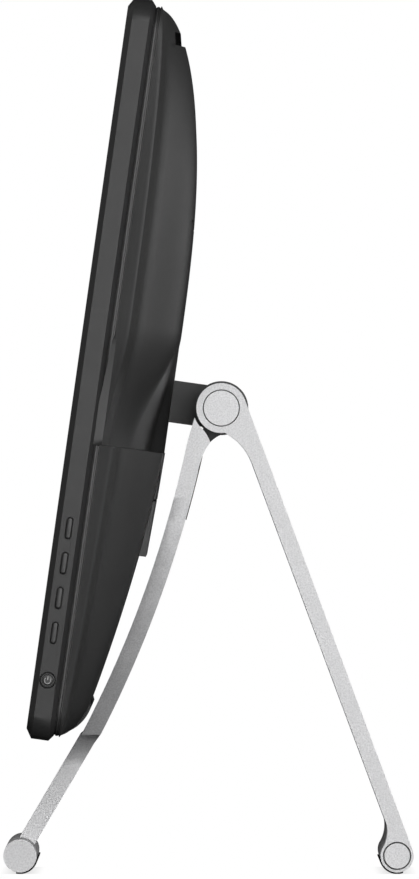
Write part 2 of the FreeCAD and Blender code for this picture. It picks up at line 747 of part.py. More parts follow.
def front_leg_face():
    """Front outline: full width at the top, drawn in towards the knee, then a fillet and a strut."""
    half = [V(STAND_HALF, 0, 230), V(STAND_HALF, 0, 172)]
    taper = Part.BSplineCurve()
    fillet = NECK_HALF - STRUT_HALF
    neck = V(NECK_HALF, 0, KNEE_Z + 0.4)
    taper.interpolate([half[1], V(70.3, 0, 148), V(65.8, 0, 124), V(58.4, 0, 100), V(49.4, 0, 78), neck])
    fillet_mid = V(NECK_HALF - fillet * cos(radians(45)), 0, neck.z - fillet * (1 - sin(radians(45))))
    fillet_end = V(STRUT_HALF, 0, neck.z - fillet)
    low = V(STRUT_HALF, 0, 0)
    right = [line(half[0], half[1]), taper.toShape(), arc(neck, fillet_mid, fillet_end), line(fillet_end, low)]
    left = [e.mirror(V(0, 0, 0), X_AXIS) for e in right]
    caps = [line(V(-STAND_HALF, 0, 230), half[0]), line(low, V(-STRUT_HALF, 0, 0))]
    wire = Part.Wire(Part.__sortEdges__(right + left + caps))
    face = Part.Face(wire)
    face.translate(V(0, -150, 0))
    return face.extrude(V(0, 300, 0))


def bracket_tongue():
    """Flat tongue of the steel bracket, let into the back of the blade."""
    ring = cyl(BLADE_R[1] + 0.4, (-44, 44), BLADE_Y, BLADE_Z)
    ring = ring.cut(cyl(BLADE_R[1] - 3, (-45, 45), BLADE_Y, BLADE_Z))
    return ring.common(box((-44, 44), (-60, 20), (162, HUB_Z - 9.7)))


def bracket_screws(sink=0.0):
    """Flush screws through the tongue; sink lengthens their heads outwards, for cutting."""
    screws = []
    for x in (-34, 34):
        for z in (170, 183):
            at = blade_point(BLADE_R[1], z)
            way = (at - yz(BLADE_Y, BLADE_Z)).normalize()
            start = V(x, at.y, at.z) + way * 0.4
            shank = Part.makeCylinder(1.5, 6.2, start, way * -1)
            head = Part.makeCylinder(2.9, 1.6 + sink, start + way * sink, way * -1)
            screws.append(joined(shank, head))
    return screws


def front_bracket():
    """Black steel bracket with the two outer knuckles, joining the blade to the shaft."""
    corner, bend = HUB + CORNER, HUB + BEND
    start, end = around(HUB_Y, HUB_Z, 9, 200), around(HUB_Y, HUB_Z, 9, 290)
    wedge_end = around(HUB_Y, HUB_Z, 11.9, -86)
    edges = [line(start, around(HUB_Y, HUB_Z, 12.7, 229)),
             arc(around(HUB_Y, HUB_Z, 12.7, 229), bend, corner),
             arc(corner, HUB + yz(-2.3, -13.4), wedge_end),
             line(wedge_end, end), line(end, start)]
    wedge = side_profile(edges, (-KNUCKLE_X[1], KNUCKLE_X[1]))
    knuckles = both(cyl(KNUCKLE_R, KNUCKLE_X, HUB_Y, HUB_Z))
    whole = joined(wedge, *knuckles.Solids, bracket_tongue())
    whole = whole.cut(cyl(SHAFT_R + RUN_GAP, (-50, 50), HUB_Y, HUB_Z))
    return whole.cut(arm_clearance()).cut(group(bracket_screws(2.0)))


def front_leg(bracket):
    leg = side_profile(front_leg_outline(), (-STAND_HALF, STAND_HALF)).common(front_leg_face())
    leg = leg.cut(arm_clearance()).cut(bracket).cut(bracket_tongue())
    leg = leg.cut(cyl(FOOT_R, (-BAR_HALF, BAR_HALF), -FOOT_Y, FOOT_Z))
    return leg.cut(group(bracket_screws(2.0) + bar_screws()))


def front_bar():
    bar = cyl(FOOT_R, (-BAR_HALF, BAR_HALF), -FOOT_Y, FOOT_Z)
    return bar.cut(group(bar_screws()))


def bar_screws():
    way = yz(sin(radians(STRUT_ANGLE)), cos(radians(STRUT_ANGLE)))
    screws = []
    for x in (-16, 16):
        start = V(x, -FOOT_Y, FOOT_Z) - way * 5.6
        shank = Part.makeCylinder(2.0, 20, start, way)
        screws.append(joined(shank, Part.makeCylinder(3.6, 3.0, start, way)))
    return screws


# ---------------------------------------------------------------- write every piece

def display_pieces():
    dome = dome_solid(0, 0)
    pieces = {
        "front_bezel": joined(front_bezel(), *screen_posts()).cut(group(chassis_screws())),
        "cover_glass": cover_glass(),
        "glass_tape": glass_tape(),
        "lcd_panel": screen_layer(0, (2.8, 4.4)),
        "optical_sheets": screen_layer(-0.5, (4.6, 5.3)),
        "light_guide": screen_layer(-0.2, (5.4, 8.0)),
        "reflector_sheet": screen_layer(0, (8.1, 8.5)),
        "led_strip": led_strip(),
        "panel_tray": panel_tray(),
        "light_sensor": light_sensor(),
        "chassis_plate": chassis_plate(),
        "chassis_screws": group(chassis_screws()),
        "main_board": main_board(),
        "board_screws": group(board_screws()),
        "heat_sink": heat_sink(),
        "wireless_module": wireless_module(),
        "display_cable": display_cable(),
        "speaker_left": speaker(-1),
        "speaker_right": speaker(1),
        "button_board": button_board(),
        "button_switches": button_switches(),
        "card_slot": card_slot(),
        "audio_socket": audio_socket(),
        "power_jack": power_jack(),
        "video_socket": video_socket(),
        "data_sockets": data_sockets(),
        "rear_cover": rear_cover(dome).cut(group(cover_screws())),
        "vent_grille": vent_grille(),
        "bottom_grille": bottom_grille(),
        "connector_bay": connector_bay(dome),
        "hinge_cover": hinge_cover(dome),
        "service_cover": service_cover(dome),
        "cover_screws": group(cover_screws()),
        "hinge_arm": hinge_arm(),
        "hinge_arm_screws": group(arm_screws()),
        "hinge_arm_cover": hinge_arm_cover(),
        "friction_bushes": friction_bushes(),
    }
    bars = button_blank(0)
    for i, u in enumerate(BUTTON_U):
        pieces[f"menu_button_{i + 1}"] = push_button(bars[i], BUTTON_L / 2 + 1.2, u)
    pieces["power_button"] = push_button(bars[-1], POWER_R + 1.2, POWER_U)
    return {name: on_panel(shape) for name, shape in pieces.items()}


def stand_pieces():
    bracket = front_bracket()
    return {
        "rear_leg": rear_leg(),
        "hinge_shaft": hinge_shaft(),
        "shaft_screws": shaft_screws(),
        "disc_springs": disc_springs(),
        "hub_cap_right": hub_cap(),
        "hub_cap_left": hub_cap().mirror(V(0, 0, 0), X_AXIS),
        "rear_foot_cap_right": foot_cap(),
        "rear_foot_cap_left": foot_cap().mirror(V(0, 0, 0), X_AXIS),
        "rear_rubber_strip": rubber_strip(REAR_FOOT, STAND_HALF - 0.5, (198, 290)),
        "front_leg": front_leg(bracket),
        "front_bracket": bracket,
        "bracket_screws": group(bracket_screws()),
        "front_foot_bar": front_bar(),
        "front_bar_screws": group(bar_screws()),
        "front_rubber_strip": rubber_strip(FRONT_FOOT, BAR_HALF - 0.5, (257, 349)),
    }


for name, shape in {**display_pieces(), **stand_pieces()}.items():
    print(name, len(shape.Solids), round(shape.Volume / 1000, 2), shape.isValid())
    shape.exportStep(f"parts/{name}.step")
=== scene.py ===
import json
import math

import bmesh
import bpy
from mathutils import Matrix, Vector


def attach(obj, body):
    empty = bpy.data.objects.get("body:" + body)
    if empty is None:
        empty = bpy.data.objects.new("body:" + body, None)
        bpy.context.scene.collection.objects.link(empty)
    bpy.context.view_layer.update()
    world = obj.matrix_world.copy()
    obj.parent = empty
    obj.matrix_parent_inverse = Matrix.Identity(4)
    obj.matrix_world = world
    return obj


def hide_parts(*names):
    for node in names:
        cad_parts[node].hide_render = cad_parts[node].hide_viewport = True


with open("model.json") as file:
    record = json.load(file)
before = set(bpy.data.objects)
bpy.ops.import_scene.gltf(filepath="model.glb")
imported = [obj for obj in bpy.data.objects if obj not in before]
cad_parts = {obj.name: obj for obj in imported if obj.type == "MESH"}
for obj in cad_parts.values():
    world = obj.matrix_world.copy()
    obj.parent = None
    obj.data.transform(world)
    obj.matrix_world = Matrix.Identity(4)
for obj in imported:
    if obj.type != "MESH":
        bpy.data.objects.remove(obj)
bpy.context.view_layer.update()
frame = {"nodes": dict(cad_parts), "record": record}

MM = 0.001
NODES = frame["nodes"]
TILT = math.radians(8)
HUB_Y, HUB_Z = 5.85, 213.2
AXIS_N, AXIS_U = 66.4, 158.5


def panel(x, n, u):
    """A point of the upright panel (millimetres: across, depth, height), leaned back on the hinge."""
    y = HUB_Y + (n - AXIS_N) * math.cos(TILT) + (u - AXIS_U) * math.sin(TILT)
    z = HUB_Z + (u - AXIS_U) * math.cos(TILT) - (n - AXIS_N) * math.sin(TILT)
    return Vector((x, y, z)) * MM


def grey(level):
    return (level, level, level)


# ------------------------------------------------------------------ camera, lights, floor

LENS = 750.0
SENSOR = 36.0
VIEW_HEIGHT = 0.3926
NEAR_SIDE = 0.2715
VIEW_CENTRE = (0.00045, 0.1988)
CLIP_END = 60

# name, place, point it faces, size, power in watts
LIGHTS = (
    ("key", (1.05, 0.16, 0.25), (0.27, 0.0, 0.23), (0.4, 0.4), 1.6),
    ("wide", (3.2, 0.5, 0.35), (0.1, 0, 0.2), (2.2, 2.2), 54),
    ("back", (-1.1, 1.9, 0.16), (0, 0, 0.16), (1.2, 0.3), 2.7),
    ("side", (0.5, 2.4, 0.25), (0, 0, 0.16), (1.4, 0.4), 4),
    ("front", (-1.2, -2.6, 1.4), (0, 0, 0.2), (1.8, 1.8), 4),
)
ROOM_DARK, ROOM_PALE = 0.06, 0.30
ROOM_RAMP = (0.2, 0.95)
FLOOR_HALF = 45.0
FLOOR_SHADE, FLOOR_SHADE_END, FLOOR_SHADE_REACH = 0.7, 0.7, 0.008
FLOOR_DULL = 0.07


def add_camera():
    data = bpy.data.cameras.new("photo_camera")
    data.lens = LENS
    data.sensor_width = SENSOR
    data.clip_end = CLIP_END
    camera = bpy.data.objects.new("photo_camera", data)
    camera.location = (NEAR_SIDE + VIEW_HEIGHT * LENS / SENSOR, *VIEW_CENTRE)
    camera.rotation_euler = (math.pi / 2, 0, math.pi / 2)
    bpy.context.scene.collection.objects.link(camera)
    bpy.context.scene.camera = camera


def add_area(name, place, aim, size, power):
    data = bpy.data.lights.new(name, "AREA")
    data.shape = "RECTANGLE"
    data.size, data.size_y = size
    data.energy = power
    light = bpy.data.objects.new(name, data)
    light.location = place
    light.visible_camera = False
    way = Vector(aim) - Vector(place)
    light.rotation_euler = way.to_track_quat("-Z", "Y").to_euler()
    bpy.context.scene.collection.objects.link(light)


def camera_only(tree, seen, hidden, surface):
    """Mixes two shaders: one that the camera sees, one that lights the object."""
    path = tree.nodes.new("ShaderNodeLightPath")
    mix = tree.nodes.new("ShaderNodeMixShader")
    tree.links.new(path.outputs["Is Camera Ray"], mix.inputs[0])
    tree.links.new(hidden.outputs[0], mix.inputs[1])
    tree.links.new(seen.outputs[0], mix.inputs[2])
    tree.links.new(mix.outputs[0], surface)


def add_world():
    world = bpy.data.worlds.new("studio")
    bpy.context.scene.world = world
    world.use_nodes = True
    tree = world.node_tree
    tree.nodes.clear()
    out = tree.nodes.new("ShaderNodeOutputWorld")
    seen = tree.nodes.new("ShaderNodeBackground")
    seen.inputs["Color"].default_value = (1, 1, 1, 1)
    seen.inputs["Strength"].default_value = 1.0
    room = tree.nodes.new("ShaderNodeBackground")
    room.inputs["Strength"].default_value = 1.0
    where = tree.nodes.new("ShaderNodeTexCoord")
    split = tree.nodes.new("ShaderNodeSeparateXYZ")
    ramp = tree.nodes.new("ShaderNodeValToRGB")
    lift = tree.nodes.new("ShaderNodeMapRange")
    lift.inputs["From Min"].default_value = -1
    lift.inputs["From Max"].default_value = 1
    for stop, place, level in zip(ramp.color_ramp.elements, ROOM_RAMP, (ROOM_DARK, ROOM_PALE)):
        stop.position = place
        stop.color = (*grey(level), 1)
    tree.links.new(where.outputs["Generated"], split.inputs[0])
    tree.links.new(split.outputs["X"], lift.inputs["Value"])
    tree.links.new(lift.outputs[0], ramp.inputs[0])
    tree.links.new(ramp.outputs[0], room.inputs["Color"])
    camera_only(tree, seen, room, out.inputs["Surface"])


def add_floor():
    mesh = bpy.data.meshes.new("studio_floor")
    corners = ((-1, -1), (1, -1), (1, 1), (-1, 1))
    mesh.from_pydata([(x * FLOOR_HALF, y * FLOOR_HALF, 0) for x, y in corners], [], [(0, 1, 2, 3)])
    floor = bpy.data.objects.new("studio_floor", mesh)
    bpy.context.scene.collection.objects.link(floor)
    mat = bpy.data.materials.new("studio_floor")
    mat.use_nodes = True
    tree = mat.node_tree
    tree.nodes.clear()
    out = tree.nodes.new("ShaderNodeOutputMaterial")
    paper = tree.nodes.new("ShaderNodeEmission")
    near = tree.nodes.new("ShaderNodeAmbientOcclusion")
    near.inputs["Distance"].default_value = FLOOR_SHADE_REACH
    shade = tree.nodes.new("ShaderNodeValToRGB")
    shade.color_ramp.elements[0].color = (*grey(FLOOR_SHADE), 1)
    shade.color_ramp.elements[1].position = FLOOR_SHADE_END
    tree.links.new(near.outputs["AO"], shade.inputs[0])
    tree.links.new(shade.outputs[0], paper.inputs["Color"])
    dull = tree.nodes.new("ShaderNodeBsdfDiffuse")
    dull.inputs["Color"].default_value = (*grey(FLOOR_DULL), 1)
    camera_only(tree, paper, dull, out.inputs["Surface"])
    mesh.materials.append(mat)


# ------------------------------------------------------------------ materials

class Finish:
    """A procedural material: one Principled shader fed by noise in object space."""

    def __init__(self, name, metallic=0.0, specular=0.5, coat=0.0, coat_roughness=0.1):
        self.mat = bpy.data.materials.new(name)
        self.mat.use_nodes = True
        self.tree = self.mat.node_tree
        self.tree.nodes.clear()
        out = self.add("OutputMaterial")
        self.shader = self.add("BsdfPrincipled")
        self.link(self.shader.outputs[0], out.inputs[0])
        self.shader.inputs["Metallic"].default_value = metallic
        self.shader.inputs["Specular IOR Level"].default_value = specular
        self.shader.inputs["Coat Weight"].default_value = coat
        self.shader.inputs["Coat Roughness"].default_value = coat_roughness
        self.where = self.add("TexCoord").outputs["Object"]

    def add(self, kind, **values):
        node = self.tree.nodes.new("ShaderNode" + kind)
        for key, value in values.items():
            setattr(node, key, value)
        return node

    def link(self, source, target):
        self.tree.links.new(source, target)

    def noise(self, size, detail=2.0, stretch=(1, 1, 1), roughness=0.5):
        """Noise whose features are about this size, in millimetres."""
        scale = self.add("Mapping")
        scale.inputs["Scale"].default_value = [s / (size * MM) for s in stretch]
        self.link(self.where, scale.inputs[0])
        tex = self.add("TexNoise")
        tex.inputs["Scale"].default_value = 1.0
        tex.inputs["Detail"].default_value = detail
        tex.inputs["Roughness"].default_value = roughness
        self.link(scale.outputs[0], tex.inputs["Vector"])
        return tex.outputs["Fac"]

    def span(self, value, low, high, start=0.3, end=0.7):
        """Maps a value from start..end on to low..high."""
        node = self.add("MapRange")
        for key, number in (("From Min", start), ("From Max", end), ("To Min", low), ("To Max", high)):
            node.inputs[key].default_value = number
        self.link(value, node.inputs["Value"])
        return node.outputs[0]

    def math(self, operation, a, b):
        node = self.add("Math", operation=operation)
        for socket, value in zip(node.inputs, (a, b)):
            if isinstance(value, (int, float)):
                socket.default_value = value
            else:
                self.link(value, socket)
        return node.outputs[0]

    def mix(self, factor, first, second):
        """A colour between two, each a colour tuple or a socket."""
        node = self.add("Mix", data_type="RGBA")
        self.link(factor, node.inputs["Factor"])
        for socket, value in ((node.inputs[6], first), (node.inputs[7], second)):
            if isinstance(value, tuple):
                socket.default_value = (*value, 1)
            else:
                self.link(value, socket)
        return node.outputs[2]

    def edges(self, radius, amount):
        """How much a point lies on a convex or concave edge, 0 to amount, broken up by noise."""
        round_off = self.add("Bevel", samples=4)
        round_off.inputs["Radius"].default_value = radius * MM
        here = self.add("NewGeometry")
        dot = self.add("VectorMath", operation="DOT_PRODUCT")
        self.link(round_off.outputs[0], dot.inputs[0])
        self.link(here.outputs["Normal"], dot.inputs[1])
        edge_wear_and_highlight = self.span(dot.outputs["Value"], amount, 0.0, 0.80, 0.995)
        return self.math("MULTIPLY", edge_wear_and_highlight, self.span(self.noise(2.5), 0.45, 1.0))

    def painted_gap_shade(self, reach):
        """1 on open faces, falling to 0 in narrow gaps: the mask for painted shade in gaps and grooves."""
        near = self.add("AmbientOcclusion", samples=6)
        near.inputs["Distance"].default_value = reach * MM
        return self.span(near.outputs["AO"], 0.0, 1.0, 0.15, 0.55)

    def colour(self, socket):
        self.link(socket, self.shader.inputs["Base Color"])

    def roughness(self, socket):
        self.link(socket, self.shader.inputs["Roughness"])

    def bump(self, height, depth, strength=1.0):
        node = self.add("Bump")
        node.inputs["Strength"].default_value = strength
        node.inputs["Distance"].default_value = depth * MM
        self.link(height, node.inputs["Height"])
        self.link(node.outputs[0], self.shader.inputs["Normal"])


def moulded(name, level, rough, grain=0.35, depth=0.02, edge_wear_and_highlight=0.5, specular=0.5):
    """Moulded plastic: a spark-eroded grain, slight mottling and shinier edges, painted paler: part edge
    wear, part painted highlight.
    """
    f = Finish(name, specular=specular)
    fine = f.noise(grain, 3.0)
    cloud = f.noise(18.0, 2.0)
    base = f.mix(f.span(cloud, 0, 1), grey(level * 0.88), grey(level * 1.12))
    base = f.mix(f.span(fine, 0.0, 0.55), base, grey(level * 1.5))
    edge = f.edges(0.5, edge_wear_and_highlight)
    # Paler edges: part edge wear, part painted highlight.
    f.colour(f.mix(edge, base, grey(level * 2.4)))
    grained = f.span(fine, rough - 0.06, rough + 0.08)
    f.roughness(f.math("SUBTRACT", grained, f.math("MULTIPLY", edge, 0.12)))
    f.bump(fine, depth)
    return f.mat


def blasted(name, level, rough, speckle=0.8, depth=0.02, metallic=1.0, tint=(1, 1, 1.01)):
    """Bead-blasted, anodised metal: bright and dark specks over a soft even grey."""
    f = Finish(name, metallic=metallic)
    specks = f.noise(speckle, 2.0, roughness=0.7)
    finer = f.noise(speckle * 0.4, 2.0)
    cloud = f.noise(14.0, 3.0)
    low = tuple(level * 0.80 * t for t in tint)
    high = tuple(min(level * 1.16, 1.0) * t for t in tint)
    base = f.mix(f.span(specks, 0, 1, 0.25, 0.75), low, high)
    base = f.mix(f.span(cloud, 0.0, 0.3), base, tuple(level * 0.95 * t for t in tint))
    edge = f.edges(0.4, 0.12)
    # Paler edges: part edge wear, part painted highlight.
    base = f.mix(edge, base, tuple(min(level * 1.2, 1.0) * t for t in tint))
    # Painted shade: the colour falls to near black in narrow gaps and grooves.
    f.colour(f.mix(f.painted_gap_shade(2.2), grey(level * 0.05), base))
    speckled = f.span(finer, rough - 0.05, rough + 0.09)
    f.roughness(f.math("SUBTRACT", speckled, f.math("MULTIPLY", edge, 0.15)))
    f.bump(f.math("ADD", specks, finer), depth)
    return f.mat


def rolled(name, colour, rough, metallic=1.0, along=(0.03, 1, 1)):
    """Plain or plated sheet and bar: faint lines along one direction and a few dull patches."""
    f = Finish(name, metallic=metallic)
    lines = f.noise(0.3, 2.0, stretch=along)
    patch = f.noise(9.0, 3.0)
    dark = tuple(c * 0.72 for c in colour)
    base = f.mix(f.span(lines, 0, 1), dark, colour)
    f.colour(f.mix(f.span(patch, 0.0, 0.4), base, tuple(c * 0.85 for c in colour)))
    f.roughness(f.span(lines, rough - 0.06, rough + 0.10))
    f.bump(lines, 0.008)
    return f.mat


def soft(name, colour, rough, grain=0.8, depth=0.05):
    """Foam, rubber, film and resin: a matt body with a visible grain."""
    f = Finish(name, specular=0.35)
    fine = f.noise(grain, 4.0, roughness=0.6)
    cloud = f.noise(11.0, 2.0)
    dark = tuple(c * 0.75 for c in colour)
    pale = tuple(min(c * 1.25, 1) for c in colour)
    base = f.mix(f.span(fine, 0, 1), dark, pale)
    f.colour(f.mix(f.span(cloud, 0.0, 0.35), base, tuple(c * 0.8 for c in colour)))
    f.roughness(f.span(fine, rough - 0.08, rough + 0.08))
    f.bump(fine, depth)
    return f.mat


SCREEN_HALF_W, SCREEN_HALF_H, SCREEN_MID_U = 0.238, 0.134, 168


def glass_front():
    """Switched-off screen: a black printed border round a slightly paler display, under glass."""
    f = Finish("screen_glass", specular=0.5, coat=1.0, coat_roughness=0.03)
    split = f.add("SeparateXYZ")
    turn = f.add("Mapping", vector_type="POINT")
    turn.inputs["Location"].default_value = -panel(0, 0, SCREEN_MID_U)
    lean = f.add("Mapping", vector_type="POINT")
    lean.inputs["Rotation"].default_value = (TILT, 0, 0)
    f.link(f.where, turn.inputs[0])
    f.link(turn.outputs[0], lean.inputs[0])
    f.link(lean.outputs[0], split.inputs[0])
    across = f.math("LESS_THAN", f.math("ABSOLUTE", split.outputs["X"], 0), SCREEN_HALF_W)
    upright = f.math("LESS_THAN", f.math("ABSOLUTE", split.outputs["Z"], 0), SCREEN_HALF_H)
    inside = f.math("MULTIPLY", across, upright)
    cells = f.noise(0.25, 1.0)
    screen = f.mix(f.span(cells, 0, 1), (0.012, 0.013, 0.016), (0.020, 0.021, 0.026))
    border = f.mix(f.span(cells, 0, 1), grey(0.003), grey(0.006))
    f.colour(f.mix(inside, border, screen))
    smears = f.noise(35.0, 4.0, stretch=(1, 1, 0.5))
    f.roughness(f.span(smears, 0.05, 0.16))
    f.bump(f.noise(60.0, 1.0), 0.01, 0.3)
    return f.mat


def board():
    """Circuit board: dark green lacquer over a faint pattern of tracks and pads."""
    f = Finish("circuit_board", coat=0.4, coat_roughness=0.2)
    tracks = f.add("TexBrick")
    tracks.inputs["Scale"].default_value = 220
    tracks.inputs["Mortar Size"].default_value = 0.04
    f.link(f.where, tracks.inputs["Vector"])
    grain = f.noise(1.2, 3.0)
    base = f.mix(f.span(grain, 0, 1), (0.004, 0.045, 0.016), (0.008, 0.075, 0.026))
    f.colour(f.mix(tracks.outputs["Fac"], base, (0.03, 0.16, 0.06)))
    f.roughness(f.span(grain, 0.3, 0.45))
    f.bump(tracks.outputs["Fac"], 0.03)
    return f.mat


def make_materials():
    return {
        "bezel_plastic": moulded("bezel_plastic", 0.025, 0.42, edge_wear_and_highlight=0.1, specular=0.36),
        "shell_plastic": moulded("shell_plastic", 0.034, 0.42, 0.45, 0.025, edge_wear_and_highlight=0.12),
        "grille_plastic": moulded("grille_plastic", 0.030, 0.55),
        "arm_plastic": moulded("arm_plastic", 0.030, 0.50),
        "key_plastic": moulded("key_plastic", 0.020, 0.40, 0.3, 0.012, edge_wear_and_highlight=0.2),
        "screen_glass": glass_front(),
        "black_foam": soft("black_foam", grey(0.014), 0.9, 0.6, 0.1),
        "lcd_cell": rolled("lcd_cell", (0.02, 0.021, 0.025), 0.15, 0.0),
        "white_film": soft("white_film", grey(0.80), 0.5, 0.5, 0.01),
        "clear_acrylic": soft("clear_acrylic", (0.72, 0.78, 0.78), 0.15, 4.0, 0.01),
        "plated_steel": rolled("plated_steel", (0.62, 0.62, 0.60), 0.35),
        "screw_steel": rolled("screw_steel", (0.60, 0.60, 0.62), 0.28),
        "spring_steel": rolled("spring_steel", (0.42, 0.42, 0.44), 0.32),
        "black_screw": rolled("black_screw", grey(0.03), 0.40, 0.6),
        "bracket_black": moulded("bracket_black", 0.020, 0.45, grain=0.3),
        "circuit_board": board(),
        "black_resin": soft("black_resin", grey(0.02), 0.5, 0.5, 0.02),
        "black_aluminium": blasted("black_aluminium", 0.05, 0.42, tint=(1, 1, 1)),
        "flat_cable": soft("flat_cable", (0.85, 0.82, 0.74), 0.4, 0.7, 0.02),
        "bush_bronze": rolled("bush_bronze", (0.56, 0.36, 0.17), 0.35),
        "stand_aluminium": blasted("stand_aluminium", 0.85, 0.58, metallic=0.5),
        "cap_aluminium": blasted("cap_aluminium", 0.84, 0.56, speckle=0.7, metallic=0.5),
        "foot_rubber": soft("foot_rubber", grey(0.012), 0.75, 0.6, 0.04),
    }


def finish_nodes(materials):
    for row in frame["record"]["subparts"]:
        obj = NODES[row["node"]]
        mat = materials[row["material_slot"]]
        for slot in obj.material_slots:
            slot.material = mat


WELD_REACH = 0.000005
BEVEL_ANGLE = math.radians(35)


def soften(name, width):
    """Rounds the sharp edges of a CAD node as it is shown; its mesh stays as packed."""
    obj = NODES[name]
    weld = obj.modifiers.new("weld", "WELD")
    weld.merge_threshold = WELD_REACH
    bevel = obj.modifiers.new("edges", "BEVEL")
    bevel.width = width * MM
    bevel.segments = 2
    bevel.limit_method = "ANGLE"
    bevel.angle_limit = BEVEL_ANGLE
    bevel.use_clamp_overlap = True
    bevel.harden_normals = True


# Edge radius of each softened node, in millimetres
SOFT_EDGES = {
    "front_bezel": 0.25, "rear_leg": 0.42, "front_leg": 0.42, "front_foot_bar": 0.30,
    "hub_cap_right": 0.22, "hub_cap_left": 0.22,
    "rear_foot_cap_right": 0.22, "rear_foot_cap_left": 0.22,
    "hinge_arm_cover": 0.40, "hinge_cover": 0.4, "service_cover": 0.3, "front_bracket": 0.35,
    "front_rubber_strip": 0.15, "rear_rubber_strip": 0.15,
}


# ------------------------------------------------------------------ new pieces

def build(name, points, faces, material, body, slot, sharp=38):
    """A mesh piece from points in metres, shaded smooth except at real edges, riding on a body."""
    mesh = bpy.data.meshes.new(name)
    mesh.from_pydata([tuple(p) for p in points], [], faces)
    work = bmesh.new()
    work.from_mesh(mesh)
    bmesh.ops.recalc_face_normals(work, faces=work.faces)
    work.to_mesh(mesh)
    work.free()
    for face in mesh.polygons:
        face.use_smooth = True
    mesh.set_sharp_from_angle(angle=math.radians(sharp))
    mesh.materials.append(material)
    obj = bpy.data.objects.new(name, mesh)
    bpy.context.scene.collection.objects.link(obj)
    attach(obj, body)
    return obj


def stacked(rings):
    """Faces that join rings of equal length, with a flat cap at each end."""
    count = len(rings[0])
    points = [p for ring in rings for p in ring]
    faces = []
    for k in range(len(rings) - 1):
        for i in range(count):
            j = (i + 1) % count
            faces.append((k * count + i, k * count + j, (k + 1) * count + j, (k + 1) * count + i))
    faces.append(tuple(range(count)))
    faces.append(tuple((len(rings) - 1) * count + i for i in range(count)))
    return points, faces


# The dome's shape, in panel millimetres: x across, n deep, u up
HALF_W = 269.3
LOW_U, HIGH_U = 2.2, 332.4
CORNER_R = 10.0
RIM_N, DOME_N = 15.0, 43.2
DOME_U = (134.4, 191.2)
SLOT_U, SLOT_N, SLOT_X, GRILLE_X = (317.2, 322.8), 22.2, 225.0, 195.0
SLOT_SINK = 1.6
WINDOW_X, WINDOW_U = 28.6, (148.2, 168.8)
BAY_X, BAY_U = 81.6, (56.4, 86.6)
LIP_X, LIP_U = 150.0, 17.2
SEAM_U = (239.4, 240.3)
SEAM_NICK, SEAM_FROM_N = 0.6, 41
HOLE_SINK = 3.0
LIP_SINK, LIP_FLOOR_N = 1.1, RIM_N - 2
SCOOP = ((62.0, 43.4), (232.0, 27.0))
SCOOP_TOP_U, SCOOP_FADE, SCOOP_BLEND, SCOOP_LEAD = 190, 56, 26.0, 12
SHOULDER_W = 7
TOP_POWER, FOOT_POWER, ROUND_OFF = 2.6, 2.2, 1 / 1.7
FOOT_U = 18
FALL, CURL = 0.0763, 0.00061
SHELL_WALL = 1.0
CORNER_FADE = 60
ROW_PITCH, COLUMN_PITCH = 2.4, 3.4
STEP_HALF = 0.09
END_GAPS = (0.04, 0.15, 0.35, 0.65, 1.05, 1.6, 2.3, 3.2, 4.4, 5.8)
# Rings below the rim, as inset and depth: they make the groove round the shell
RIM_RINGS = (
    (0.0, 14.9), (0.8, 14.6), (0.8, 14.1), (0.45, 13.9), (0.45, 13.2), (0.9, 12.9), (0.9, 12.55),
)


def ease(t):
    t = min(max(t, 0.0), 1.0)
    return t * t * (3 - 2 * t)


def spine(u):
    """Depth of the dome on its middle line."""
    if u > DOME_U[1]:
        s = min((u - DOME_U[1]) / (HIGH_U - DOME_U[1]), 1.0)
        return RIM_N + (DOME_N - RIM_N) * (1 - s ** TOP_POWER) ** ROUND_OFF
    t = max(DOME_U[0] - u, 0.0)
    depth = DOME_N - FALL * t - CURL * t * t
    s = min(max((FOOT_U - u) / (FOOT_U - LOW_U), 0.0), 1.0)
    return RIM_N + (depth - RIM_N) * (1 - s ** FOOT_POWER) ** ROUND_OFF


def flank(e):
    """Share of the dome's depth reached at e in from the side: a shoulder, a shelf, then the rise."""
    s = min(max(e, 0.0) / SHOULDER_W, 1.0)
    return 0.2 * (1 - (1 - s) ** 2.0) + 0.1 * ease(e / 30) + 0.7 * ease((e - 30) / 48)


def corner_inset(u):
    """How far the rounded corner draws the side in at height u."""
    near = max(CORNER_R - min(u - LOW_U, HIGH_U - u), 0)
    return CORNER_R - math.sqrt(max(CORNER_R ** 2 - near ** 2, 0))


def soft_min(a, b, k):
    """The smaller of two values, rounded where they are closer than k."""
    h = max(k - abs(a - b), 0) / k
    return min(a, b) - h * h * k / 4


def dome_depth(x, u, e):
    """Depth of the shell's outside at x across and u up; e is the distance in from its side."""
    n = RIM_N + (spine(u) - RIM_N) * flank(e)
    x = abs(x)
    if u > DOME_U[0] and x > SCOOP[0][0] - SCOOP_LEAD:
        slope = (SCOOP[1][1] - SCOOP[0][1]) / (SCOOP[1][0] - SCOOP[0][0])
        plane = SCOOP[0][1] + slope * (x - SCOOP[0][0])
        fade = ease((SCOOP_TOP_U - u) / SCOOP_FADE)
        lead = ease((x - SCOOP[0][0] + SCOOP_LEAD) / SCOOP_LEAD)
        n += (soft_min(n, plane, SCOOP_BLEND) - n) * fade * lead
    if SEAM_U[0] < u < SEAM_U[1]:
        n -= SEAM_NICK * ease((n - SEAM_FROM_N) / 1.5)
    if SLOT_U[0] < u < SLOT_U[1] and x < SLOT_X:
        n = min(n, SLOT_N) if x > GRILLE_X else SLOT_N - SLOT_SINK
    if WINDOW_U[0] < u < WINDOW_U[1] and x < WINDOW_X:
        n -= HOLE_SINK
    if BAY_U[0] < u < BAY_U[1] and x < BAY_X:
        n -= HOLE_SINK
    if u < LIP_U and x < LIP_X:
        n = max(n - LIP_SINK, LIP_FLOOR_N)
    return n


def in_hole(x, u):
    """True where the shell is open: the grille's slot, the arm's window or the connector bay."""
    x = abs(x)
    slot = SLOT_U[0] < u < SLOT_U[1] and x < GRILLE_X
    window = WINDOW_U[0] < u < WINDOW_U[1] and x < WINDOW_X
    bay = BAY_U[0] < u < BAY_U[1] and x < BAY_X
    return slot or window or bay


